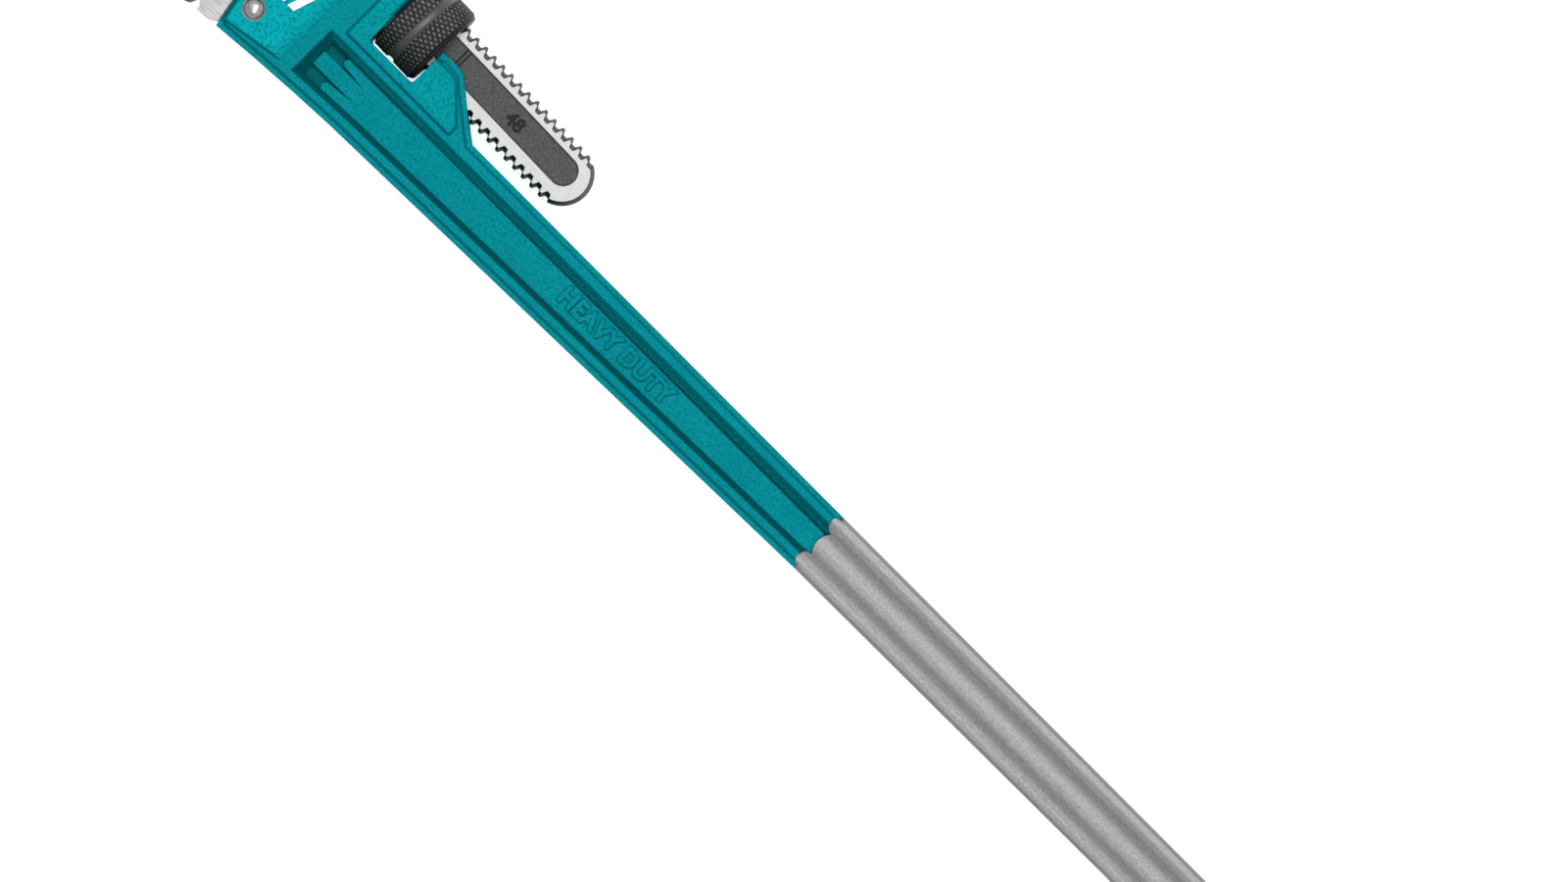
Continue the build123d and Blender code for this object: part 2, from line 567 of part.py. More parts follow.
def thread_grooves():
    """The grooves of a right-hand thread across the shank's upper and lower edges."""
    outer = CREST_R + 2 * LAP
    inner_w, outer_w = groove_half_width(ROOT_R), groove_half_width(outer)
    profile = make_face(Polyline((-inner_w, ROOT_R), (-outer_w, outer), (outer_w, outer),
                                 (inner_w, ROOT_R), close=True))
    ring = Rot(-THREAD_SWEEP, 0, 0) * revolve(profile, Axis.X, revolution_arc=2 * THREAD_SWEEP)
    helix_angle = degrees(atan2(PITCH, pi * (CREST_R + ROOT_R)))
    first = -int(NUT_LENGTH / 2 // PITCH)
    last = int((SHANK_END - CREST_R / 2) // PITCH)
    grooves = []
    for turn in range(first, last + 1):
        grooves.append(Pos(turn * PITCH, 0, 0) * Rot(0, helix_angle, 0) * ring)
        lower = Pos((turn + 0.5) * PITCH, 0, 0) * Rot(0, -helix_angle, 0)
        if turn < last:
            grooves.append(lower * Rot(180, 0, 0) * ring)
    return grooves


def shank():
    """The shank in its own frame: X along it from the nut's middle, thread on both edges."""
    x0 = leaning_x(HEEL_TOP, -HEEL_THICK) - NUT_X
    thread_x = -NUT_LENGTH / 2 - THREAD_RUNOUT
    dome_x = SHANK_END - CREST_R
    arc_mid = (dome_x + CREST_R * sqrt(0.5), CREST_R * sqrt(0.5))
    profile = make_face([Line((thread_x, 0), (thread_x, CREST_R)), Line((thread_x, CREST_R), (dome_x, CREST_R)),
                         ThreePointArc((dome_x, CREST_R), arc_mid, (SHANK_END, 0)),
                         Line((SHANK_END, 0), (thread_x, 0))])
    bar = revolve(profile, Axis.X) & block(thread_x, SHANK_END + LAP, -BACK, BACK, SHANK_HALF_WIDTH)
    neck = block(x0, thread_x + 0.01, -CREST_R, CREST_R, SHANK_HALF_WIDTH)
    neck = chamfer(neck.edges().filter_by(Axis.X), SHANK_CHAMFER)
    return bar - thread_grooves() + neck


def shank_recess():
    """The long recess with a round end, sunk in the shank's +Z side."""
    round_x = SHANK_END - RECESS_MARGIN - RECESS_HALF
    slot = block(RECESS_START, round_x, -RECESS_HALF, RECESS_HALF, RECESS_DEPTH)
    slot = slot + Pos(round_x, 0, 0) * Cylinder(RECESS_HALF, 2 * RECESS_DEPTH)
    return Pos(0, RECESS_RISE, SHANK_HALF_WIDTH) * slot


def hook_outline():
    """Side view of the hook's head in the bench frame, teeth included."""
    crest_low = HOOK_LOW + HOOK_TIP_RISE
    count = int((HEEL_TOP - HOOK_ROOM - crest_low) / cos(LEAN) // TOOTH_PITCH)
    row = []
    for x, y in tooth_row(count):
        along = crest_low + y * cos(LEAN) - x * sin(LEAN)
        row.append((leaning_x(crest_low + y * cos(LEAN), MOUTH_GAP + x), along))
    top_tooth = row[-1]
    under = shank_axis_y(0.0) - CREST_R
    throat_end = (leaning_x(HEEL_TOP, -HEEL_THICK) - THROAT_GAP, under)
    back_top = (BROW_X, shank_axis_y(BROW_X) + CREST_R + BROW_RISE)
    tip_end = (row[0][0] - HOOK_TIP_LENGTH, HOOK_LOW - LAP)
    teeth = Polyline(*row)
    throat = ThreePointArc(top_tooth, (top_tooth[0] + 2 * THROAT_GAP, under - THROAT_DIP), throat_end)
    over = shank_axis_y(throat_end[0]) + CREST_R
    lap_x = throat_end[0] + THROAT_LAP
    neck = Polyline(throat_end, (lap_x, under + LAP), (lap_x, over), back_top)
    back = [(behind - HOOK_BACK, height) for behind, height in HOOK_CURVE]
    outer = Spline(back_top, *back, (HOOK_BELLY_X, HOOK_LOW + 2 * LAP), tip_end)
    tip = Line(tip_end, row[0])
    return make_face([teeth, throat, neck, outer, tip])


def hook_jaw():
    """The hook jaw: toothed hook, neck and threaded shank in one forging."""
    head = extrude(hook_outline(), HOOK_HALF_WIDTH, both=True)
    back_rims = head.faces().filter_by(Plane.XY).edges().filter_by(lambda e: e.length > HOOK_BACK)
    head = chamfer(back_rims, HOOK_CHAMFER)
    return head + SHANK_PLACE * shank() - SHANK_PLACE * both_faces(shank_recess())


# ---------------------------------------------------------------- nut

def nut_ridge():
    """The nut's internal thread: flat-sided steps along a right-hand helix, in the nut's frame."""
    inner = ROOT_R + THREAD_GAP
    outer = CREST_R + THREAD_GAP + RIDGE_ROOT
    turns = (NUT_LENGTH - 2 * NUT_CHAMFER) / PITCH - RIDGE_TRIM
    half_steps = int(turns * RIDGE_STEPS / 2)
    sections = []
    for step in range(-half_steps, half_steps + 1):
        angle = 2 * pi * step / RIDGE_STEPS
        w0 = groove_half_width(inner) - THREAD_GAP
        w1 = groove_half_width(outer) - THREAD_GAP
        outline = make_face(Polyline((inner, -w0), (outer, -w1), (outer, w1), (inner, w0), close=True))
        plane = Plane((step / RIDGE_STEPS * PITCH, 0, 0), x_dir=(0, cos(angle), sin(angle)),
                      z_dir=(0, sin(angle), -cos(angle)))
        sections.append(plane * outline)
    return loft(sections, ruled=True)


def adjusting_nut():
    """The round adjusting nut: two grip bands, a smooth waist and an internal thread."""
    half = NUT_LENGTH / 2
    bore = CREST_R + THREAD_GAP
    low, high = WAIST_OFFSET - WAIST_WIDTH / 2, WAIST_OFFSET + WAIST_WIDTH / 2
    shoulder = NUT_R - NUT_CHAMFER
    profile = make_face([
        Polyline((-half, bore), (-half, shoulder), (NUT_HEAD_SHOULDER - half, NUT_R), (low, NUT_R)),
        ThreePointArc((low, NUT_R), (WAIST_OFFSET, NUT_R - WAIST_DEPTH), (high, NUT_R)),
        Polyline((high, NUT_R), (half - NUT_TAIL_SHOULDER, NUT_R), (half, shoulder), (half, bore), (-half, bore))])
    return SHANK_PLACE * (revolve(profile, Axis.X) + nut_ridge())


# ---------------------------------------------------------------- springs and their pin

def leaf_spring():
    """The leaf spring under the shank, with a rolled eye round its pin."""
    eye_in = LEAF_PIN_R + PIN_GAP
    eye_out = eye_in + LEAF_THICK
    y0 = leaf_pin_y()
    eye = Cylinder(eye_out, 2 * LEAF_HALF_WIDTH) - Cylinder(eye_in, 4 * LEAF_HALF_WIDTH)
    end_x = -LEAF_REACH
    rise = shank_axis_y(LEAF_PIN_X + end_x) - shank_axis_y(LEAF_PIN_X) - LEAF_TIP_GAP
    top = [ThreePointArc((0, eye_out), (end_x / 2, eye_out + rise / 2 - LEAF_SAG), (end_x, eye_out + rise)),
           Line((end_x, eye_out + rise), (end_x, eye_in + rise)),
           ThreePointArc((end_x, eye_in + rise), (end_x / 2, eye_in + rise / 2 - LEAF_SAG), (0, eye_in)),
           Line((0, eye_in), (0, eye_out))]
    strip = extrude(make_face(top), LEAF_HALF_WIDTH, both=True)
    blade = eye + (strip - Cylinder(eye_in, 4 * LEAF_HALF_WIDTH))
    return Pos(LEAF_PIN_X, y0, 0) * blade


def leaf_spring_pin():
    """The pin that the leaf spring's eye turns on."""
    reach = SHANK_HALF_WIDTH + SLIDE_GAP + PIN_SEAT - PIN_END_GAP
    return Pos(LEAF_PIN_X, leaf_pin_y(), 0) * Cylinder(LEAF_PIN_R, 2 * reach)


def coil_height():
    """Length of the coil spring between shank and pocket end."""
    return COIL_TURNS * COIL_PITCH + 2 * COIL_WIRE_R


def coil_spring():
    """The coil spring in the housing's roof, pressing on the shank's back."""
    radius = COIL_R - COIL_WIRE_R
    path = Helix(pitch=COIL_PITCH, height=COIL_TURNS * COIL_PITCH, radius=radius)
    wire = Plane(path @ 0, z_dir=path % 0) * Circle(COIL_WIRE_R)
    coil = sweep(wire, path=path, is_frenet=True)
    foot = shank_axis_y(COIL_X) + CREST_R + SPRING_GAP + COIL_WIRE_R
    return Pos(COIL_X, foot, 0) * Rot(-90, 0, 0) * coil


# ---------------------------------------------------------------- export

def main():
    os.makedirs("parts", exist_ok=True)
    pieces = {
        "handle": handle,
        "grip": grip,
        "hook_jaw": hook_jaw,
        "heel_jaw": heel_jaw,
        "heel_jaw_pin": heel_jaw_pin,
        "adjusting_nut": adjusting_nut,
        "leaf_spring": leaf_spring,
        "leaf_spring_pin": leaf_spring_pin,
        "coil_spring": coil_spring,
    }
    for name, make in pieces.items():
        export_step(Pos(-HANG_X, 0, 0) * make(), f"parts/{name}.step")


main()
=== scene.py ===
import json
from math import atan2, pi, radians, sqrt

import bmesh
import bpy
from mathutils import Matrix, Vector


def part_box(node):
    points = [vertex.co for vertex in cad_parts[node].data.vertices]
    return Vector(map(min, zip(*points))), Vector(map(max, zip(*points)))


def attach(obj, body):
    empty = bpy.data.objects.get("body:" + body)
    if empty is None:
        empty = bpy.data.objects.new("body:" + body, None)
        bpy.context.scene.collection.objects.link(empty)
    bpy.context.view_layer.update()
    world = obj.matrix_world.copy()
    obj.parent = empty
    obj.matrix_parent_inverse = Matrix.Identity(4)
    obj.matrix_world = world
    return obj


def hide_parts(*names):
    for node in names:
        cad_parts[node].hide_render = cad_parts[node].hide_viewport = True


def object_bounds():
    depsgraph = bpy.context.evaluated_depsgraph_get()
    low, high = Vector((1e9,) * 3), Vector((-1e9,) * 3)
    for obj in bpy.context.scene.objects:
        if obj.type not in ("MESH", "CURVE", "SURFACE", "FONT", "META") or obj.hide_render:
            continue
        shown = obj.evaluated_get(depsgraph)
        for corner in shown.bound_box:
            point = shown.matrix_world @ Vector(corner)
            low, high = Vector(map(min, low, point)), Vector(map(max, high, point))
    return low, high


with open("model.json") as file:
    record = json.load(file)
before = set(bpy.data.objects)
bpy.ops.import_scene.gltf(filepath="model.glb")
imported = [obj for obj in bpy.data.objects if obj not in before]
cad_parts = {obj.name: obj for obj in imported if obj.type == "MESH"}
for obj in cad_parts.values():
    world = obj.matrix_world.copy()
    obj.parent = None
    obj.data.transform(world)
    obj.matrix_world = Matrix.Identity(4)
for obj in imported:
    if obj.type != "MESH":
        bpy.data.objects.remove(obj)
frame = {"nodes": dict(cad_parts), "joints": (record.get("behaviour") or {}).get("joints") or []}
cad_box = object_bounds()
JOINTS = {joint["name"]: joint for joint in frame["joints"]}

# A 48 inch pipe wrench on its side. X runs along the handle, away from the jaws; Y from the
# handle towards the hook jaw's shank; Z is the thickness. Everything is in metres.
MM = 0.001

# ---- camera
VIEW_WIDTH = 1066.7 * MM        # what the view's long side spans at mid-thickness
VIEW_DISTANCE = 7.27
SENSOR = 36.0
CLIP_END = 60.0
ROLL = radians(45)              # the handle runs at 45 degrees across the view
AIM = Vector((-632.1, 31.7, 0)) * MM

# ---- adjusting nut
NUT_R = 31.6 * MM
NUT_LENGTH = 37.3 * MM
NUT_BORE_R = 22.67 * MM
NUT_CHAMFER = 2.4 * MM
NUT_HEAD_SHOULDER = 1.8 * MM
NUT_TAIL_SHOULDER = 4.0 * MM
WAIST_FROM = -5.35 * MM         # smooth waist between the two knurled bands
WAIST_TO = 1.35 * MM
WAIST_DEPTH = 1.7 * MM
WAIST_STEPS = 6
KNURLED_BANDS = ((NUT_HEAD_SHOULDER - NUT_LENGTH / 2, WAIST_FROM),
                 (WAIST_TO, NUT_LENGTH / 2 - NUT_TAIL_SHOULDER))
KNURL_ROUND = 4.0 * MM          # from one diamond to the next, round the nut
KNURL_ALONG = 7.0 * MM          # and along it
KNURL_DEPTH = 0.55 * MM
DIAMOND_FLAT = 0.75 * MM        # worn flat on each diamond's point
THREAD_PITCH = 25.4 / 3 * MM
THREAD_ROOT_R = 19.3 * MM
THREAD_TIP_HALF = 1.3 * MM
THREAD_FOOT_HALF = 3.0 * MM
THREAD_LET_IN = 0.3 * MM        # how far the ridge is let into the nut
THREAD_STEPS = 48               # sections in each turn
THREAD_TRIM = 0.5               # turns left off it
WELD = 0.001 * MM               # vertices nearer than this are one

# ---- raised marks
LETTER_HEIGHT = 14.0 * MM
LETTERS_FROM = -809.7 * MM
LETTERS_TO = -705.5 * MM
LETTERS_LOW = -10.0 * MM
LETTER_RISE = 1.7 * MM
LETTER_BOLD = 0.02              # strokes widened, as a share of the letters' size
LETTER_DEPTH = 0.05             # half depth before scaling, as the same share
LETTER_ROUND = 0.03             # rounding of their rims
LETTER_WELD = 0.0005
LETTER_SINK = 0.3               # depth let into the face, as a share of the rise
SIZE_HEIGHT = 10.5 * MM
SIZE_RISE = 0.4 * MM
SIZE_AT = Vector((-921.5, 50.6)) * MM
MARK_BARS = 3                   # plain white bars on the head's raised pad
MARK_AT = Vector((-1092.5, 12.0)) * MM
MARK_BAR = Vector((6.2, 19.0)) * MM
MARK_STEP = 9.5 * MM
MARK_SLANT = 0.32
MARK_RISE = 0.9 * MM
BAR_THICK = 1.3                 # raised bars: thickness and rounding, as shares of the rise
BAR_ROUND = 0.35
GAUGE_LINES = (-971.5 * MM, -968.4 * MM)    # two raised lines across the shank's recess
GAUGE_LINE = Vector((1.2, 19.4)) * MM
GAUGE_Y = 58.2 * MM
GAUGE_RISE = 0.35 * MM

# ---- the casting: levels above the mid-plane, and how upright its slopes stand, as the size of
# ---- their normal's Z
# the enamel's painted light and shade follow these levels: darker in the pits, lighter on the raised pads
PIT_LEVEL = 3.0 * MM
WEB_LEVEL = 6.5 * MM
FACE_LEVEL = 18.0 * MM
PAD_LEVEL = 20.5 * MM
HEAD_PAD_X = -1056 * MM         # tail end of the head's raised pad
WALL_TILT = 0.42                # the channel's drafted walls, which the enamel shows with painted shade
WALL_SPREAD = 0.17
CHAMFER_TILT = 0.72             # chamfers round pads and flange faces, which the enamel shows with painted shade
CHAMFER_SPREAD = 0.11
CAST_ROUND = 0.6 * MM           # rims as the sand mould leaves them
CAST_RIM_ANGLE = radians(20)    # edges sharper than this are rims
CAST_FLAT_ANGLE = radians(0.5)  # and faces flatter than this are one
RIM_LEVEL = 15.4 * MM           # only rims further out than this are rounded
BARE_R = 8.1 * MM               # machined ring round the heel pin

# ---- the forging and the grip
SHANK_FACE = 10.5 * MM          # ground faces of the shank
FACE_EDGE = 0.04 * MM           # surfaces this near that level are fully bright
FACE_REACH = 0.10 * MM          # and none beyond this
LOBE_LEVEL = 14.3 * MM          # grip: lobes and the bottom of the valleys between them; the vinyl's painted shade ramps between these levels
VALLEY_LEVEL = 11.6 * MM

# ---- surface patterns: the size of a grain, and how deep it is
SAND = 2.0 * MM                 # cast sand, coarser and deeper than real so that it shows
SAND_DEPTH = 1.3 * MM
SWELL = 30 * MM                 # drift of the enamel's tone
FLECK = 1.6 * MM                # the vinyl's pebble and the forging's scale
FLECK_DEPTH = 0.25 * MM
FINE_DEPTH = 0.1 * MM           # fine scale, grinding and oxide
FIGURE_SCALE = 1.0 * MM
SHANK_LINES = 9 * MM            # grinding lines, before they are drawn out
JAW_LINES = 10 * MM
JAW_LINES_TURN = radians(35)
PEEN_DENT = 3.2 * MM
PEEN_DEPTH = 0.5 * MM
RUB_HIGHLIGHT_PATCH = 5 * MM              # patches where the nut's points are lighter: rubbing and painted highlight
RUB_HIGHLIGHT_DEPTH = 0.35 * MM           # and how far down its diamonds that lighter colour reaches
OXIDE = 0.9 * MM
BLUING = 12 * MM
ENAMEL_CORNER_SHADE = 2.5 * MM         # how far the painted shade in corners reaches on the enamel
FORGING_CORNER_SHADE = 1.8 * MM         # and on the forging
RIM_REACH = 1.1 * MM            # how far in from a rim the forging stays black

# ---- table and sky
FLOOR_SIZE = 12.0
FLOOR_GAP = 0.2 * MM
FLOOR_GLOW = 0.80
SKY_STRENGTH = 0.20

# ---- lights: place from the aim point in metres, size in metres, power in watts
STUDIO_LIGHTS = (
    ("key", (-0.75, 1.00, 2.6), (1.6, 1.6), 57),
    ("fill", (0.5, -0.45, 2.8), (1.6, 1.6), 31),
)


# ---------------------------------------------------------------- camera

def make_camera():
    data = bpy.data.cameras.new("camera")
    data.sensor_width = SENSOR
    data.lens = SENSOR * VIEW_DISTANCE / VIEW_WIDTH
    data.clip_end = CLIP_END
    camera = bpy.data.objects.new("camera", data)
    bpy.context.scene.collection.objects.link(camera)
    above = Matrix.Translation(AIM + Vector((0, 0, VIEW_DISTANCE)))
    camera.matrix_world = above @ Matrix.Rotation(ROLL, 4, "Z")
    bpy.context.scene.camera = camera


# ---------------------------------------------------------------- small helpers

def linear(hex_colour):
    """An sRGB hex colour as linear red, green, blue and alpha."""
    channels = [int(hex_colour[i:i + 2], 16) / 255 for i in (1, 3, 5)]
    return [c / 12.92 if c <= 0.04045 else ((c + 0.055) / 1.055) ** 2.4 for c in channels] + [1.0]


def fill(tree, node, inputs):
    """Gives each of a node's inputs a value or a link, by name or by place."""
    for socket, value in inputs.items():
        if isinstance(value, bpy.types.NodeSocket):
            tree.links.new(value, node.inputs[socket])
        else:
            node.inputs[socket].default_value = value


def add(tree, kind, inputs=None, **settings):
    """Adds a node with its settings and inputs."""
    made = tree.nodes.new(kind)
    for name, value in settings.items():
        setattr(made, name, value)
    fill(tree, made, inputs or {})
    return made


def start_material(name):
    """An empty material with a Principled shader, and the piece's own coordinates."""
    material = bpy.data.materials.new(name)
    material.use_nodes = True
    tree = material.node_tree
    tree.nodes.clear()
    shader = add(tree, "ShaderNodeBsdfPrincipled")
    add(tree, "ShaderNodeOutputMaterial", {"Surface": shader.outputs["BSDF"]})
    place = add(tree, "ShaderNodeTexCoord")
    return material, tree, shader, place.outputs["Object"]


def nut_place():
    """The nut's middle and its axis, from the joint that it turns on."""
    joint = JOINTS["nut_spin"]
    return Vector(joint.get("pos_m") or joint["pos"]), Vector(joint["axis"]).normalized()


def finish_mesh(name, bm, material, body, replaces=()):
    """Turns a bmesh into a piece that rides on a body and takes the given material."""
    mesh = bpy.data.meshes.new(name)
    bm.to_mesh(mesh)
    bm.free()
    piece = bpy.data.objects.new(name, mesh)
    bpy.context.scene.collection.objects.link(piece)
    mesh.materials.append(material)
    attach(piece, body)
    if replaces:
        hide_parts(*replaces)
    return piece


# ---------------------------------------------------------------- materials

def level_mask(tree, place, low, high):
    """0 where the surface lies nearer the mid-plane than low, 1 beyond high, on either side."""
    parts = add(tree, "ShaderNodeSeparateXYZ", {0: place})
    height = add(tree, "ShaderNodeMath", {0: parts.outputs["Z"]}, operation="ABSOLUTE")
    return add(tree, "ShaderNodeMapRange", {0: height.outputs[0], 1: low, 2: high}).outputs[0]


def tilt_mask(tree, normal, tilt, spread):
    """1 on faces whose normal has about this Z, up or down."""
    turned = add(tree, "ShaderNodeSeparateXYZ", {0: normal})
    upright = add(tree, "ShaderNodeMath", {0: turned.outputs["Z"]}, operation="ABSOLUTE")
    match = add(tree, "ShaderNodeMath", {0: upright.outputs[0], 1: tilt, 2: spread}, operation="COMPARE")
    return match.outputs[0]


def cast_enamel():
    """Teal enamel, sprayed on sand-cast iron: a satin skin over a pebbled ground, with painted
    shade on the drafted walls, chamfers, pits and corners, painted light on the raised pads, most on
    the head's pad, and a bare machined ring where the heel pin's countersink was cut after painting."""
    material, tree, shader, place = start_material("enamel_on_cast_iron")
    normal = add(tree, "ShaderNodeTexCoord").outputs["Normal"]
    pin_low, pin_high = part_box("heel_jaw_pin")
    pin = (pin_low + pin_high) / 2
    sand = add(tree, "ShaderNodeTexNoise", {"Vector": place, "Scale": 1 / SAND, "Detail": 3.0})
    swell = add(tree, "ShaderNodeTexNoise", {"Vector": place, "Scale": 1 / SWELL, "Detail": 2.0})
    tone = add(tree, "ShaderNodeMapRange", {0: swell.outputs["Fac"], 1: 0.3, 2: 0.7})
    grain = add(tree, "ShaderNodeMapRange", {0: sand.outputs["Fac"], 1: 0.30, 2: 0.55})
    low = add(tree, "ShaderNodeMix", {0: tone.outputs[0], 6: linear("#008994"), 7: linear("#00919B")},
              data_type="RGBA").outputs[2]
    high = add(tree, "ShaderNodeMix", {0: tone.outputs[0], 6: linear("#00909A"), 7: linear("#009BA5")},
               data_type="RGBA").outputs[2]
    parts = add(tree, "ShaderNodeSeparateXYZ", {0: place})
    # painted light: the raised pads are lighter than the flange faces, and the head's pad lighter still
    forward = add(tree, "ShaderNodeMapRange", {0: parts.outputs["X"], 1: HEAD_PAD_X + 6 * MM,
                                               2: HEAD_PAD_X - 12 * MM})
    head = add(tree, "ShaderNodeMix", {0: forward.outputs[0], 6: high, 7: linear("#00ABB4")},
               data_type="RGBA").outputs[2]
    mask = level_mask(tree, place, FACE_LEVEL, PAD_LEVEL)
    pads_lit_paint = add(tree, "ShaderNodeMix", {0: mask, 6: low, 7: head},
                data_type="RGBA").outputs[2]
    pebbled = add(tree, "ShaderNodeMix", {0: grain.outputs[0], 6: linear("#007781"), 7: pads_lit_paint},
                  data_type="RGBA").outputs[2]
    # painted shade in the corners, from ambient occlusion
    open_sky = add(tree, "ShaderNodeAmbientOcclusion", {"Distance": ENAMEL_CORNER_SHADE}, samples=8)
    corner = add(tree, "ShaderNodeMapRange", {0: open_sky.outputs["AO"], 1: 0.45, 2: 0.85})
    corner_shaded = add(tree, "ShaderNodeMix", {0: corner.outputs[0], 6: linear("#00646C"), 7: pebbled},
                   data_type="RGBA").outputs[2]
    # painted shade on the chamfers, chosen by their tilt
    mask = tilt_mask(tree, normal, CHAMFER_TILT, CHAMFER_SPREAD)
    chamfer_shaded = add(tree, "ShaderNodeMix", {0: mask, 6: corner_shaded, 7: linear("#00747E")},
                 data_type="RGBA").outputs[2]
    # painted shade on the channel's drafted walls, chosen by their tilt
    mask = tilt_mask(tree, normal, WALL_TILT, WALL_SPREAD)
    wall_shaded = add(tree, "ShaderNodeMix", {0: mask, 6: chamfer_shaded, 7: linear("#005D64")},
                 data_type="RGBA").outputs[2]
    # painted shade in the pits below the web
    mask = level_mask(tree, place, PIT_LEVEL, WEB_LEVEL - MM)
    pit_shaded = add(tree, "ShaderNodeMix", {0: mask, 6: linear("#006067"), 7: wall_shaded},
                 data_type="RGBA").outputs[2]
    away = add(tree, "ShaderNodeVectorMath", {0: place, 1: (-pin.x, -pin.y, 0.0)}, operation="ADD")
    flat = add(tree, "ShaderNodeVectorMath", {0: away.outputs[0], 1: (1.0, 1.0, 0.0)},
               operation="MULTIPLY")
    radius = add(tree, "ShaderNodeVectorMath", {0: flat.outputs[0]}, operation="LENGTH")
    bare = add(tree, "ShaderNodeMapRange", {0: radius.outputs["Value"], 1: BARE_R + 0.1 * MM, 2: BARE_R})
    colour = add(tree, "ShaderNodeMix", {0: bare.outputs[0], 6: pit_shaded, 7: linear("#A3A3A2")},
                 data_type="RGBA").outputs[2]
    bump = add(tree, "ShaderNodeBump", {"Height": sand.outputs["Fac"], "Strength": 1.0,
                                        "Distance": SAND_DEPTH})
    fill(tree, shader, {"Base Color": colour, "Metallic": bare.outputs[0], "Normal": bump.outputs[0],
                        "Roughness": 0.5, "Specular IOR Level": 0.03})
    return material


def white_enamel():
    """White enamel rolled on to raised casting marks: slightly uneven, semi-gloss."""
    material, tree, shader, place = start_material("white_rolled_enamel")
    sand = add(tree, "ShaderNodeTexNoise", {"Vector": place, "Scale": 1 / SAND, "Detail": 3.0})
    colour = add(tree, "ShaderNodeMix", {0: sand.outputs["Fac"], 6: linear("#E4E6E6"),
                                         7: linear("#F6F7F7")},
                 data_type="RGBA")
    bump = add(tree, "ShaderNodeBump", {"Height": sand.outputs["Fac"], "Strength": 0.3,
                                        "Distance": 0.3 * MM})
    fill(tree, shader, {"Base Color": colour.outputs[2], "Normal": bump.outputs[0], "Roughness": 0.4})
    return material


def grey_vinyl():
    """Plasticised vinyl, dip-moulded in grey: matt, with a fine pebble that shows as speckle, and
    painted shade in the valleys between the lobes."""
    material, tree, shader, place = start_material("dipped_grey_vinyl")
    fleck = add(tree, "ShaderNodeTexNoise", {"Vector": place, "Scale": 1 / FLECK, "Detail": 4.0,
                                             "Roughness": 0.7})
    spread = add(tree, "ShaderNodeMapRange", {0: fleck.outputs["Fac"], 1: 0.32, 2: 0.68})
    lobe = add(tree, "ShaderNodeMix", {0: spread.outputs[0], 6: linear("#939392"), 7: linear("#BFBFBE")},
               data_type="RGBA").outputs[2]
    # painted shade: the valleys darker than the lobes
    valley_shaded = add(tree, "ShaderNodeMix", {0: spread.outputs[0], 6: linear("#717170"),
                                         7: linear("#888887")},
                 data_type="RGBA").outputs[2]
    mask = level_mask(tree, place, VALLEY_LEVEL, LOBE_LEVEL)
    colour = add(tree, "ShaderNodeMix", {0: mask, 6: valley_shaded, 7: lobe},
                 data_type="RGBA").outputs[2]
    bump = add(tree, "ShaderNodeBump", {"Height": fleck.outputs["Fac"], "Strength": 0.5,
                                        "Distance": FLECK_DEPTH})
    fill(tree, shader, {"Base Color": colour, "Normal": bump.outputs[0], "Roughness": 0.62,
                        "Specular IOR Level": 0.25})
    return material


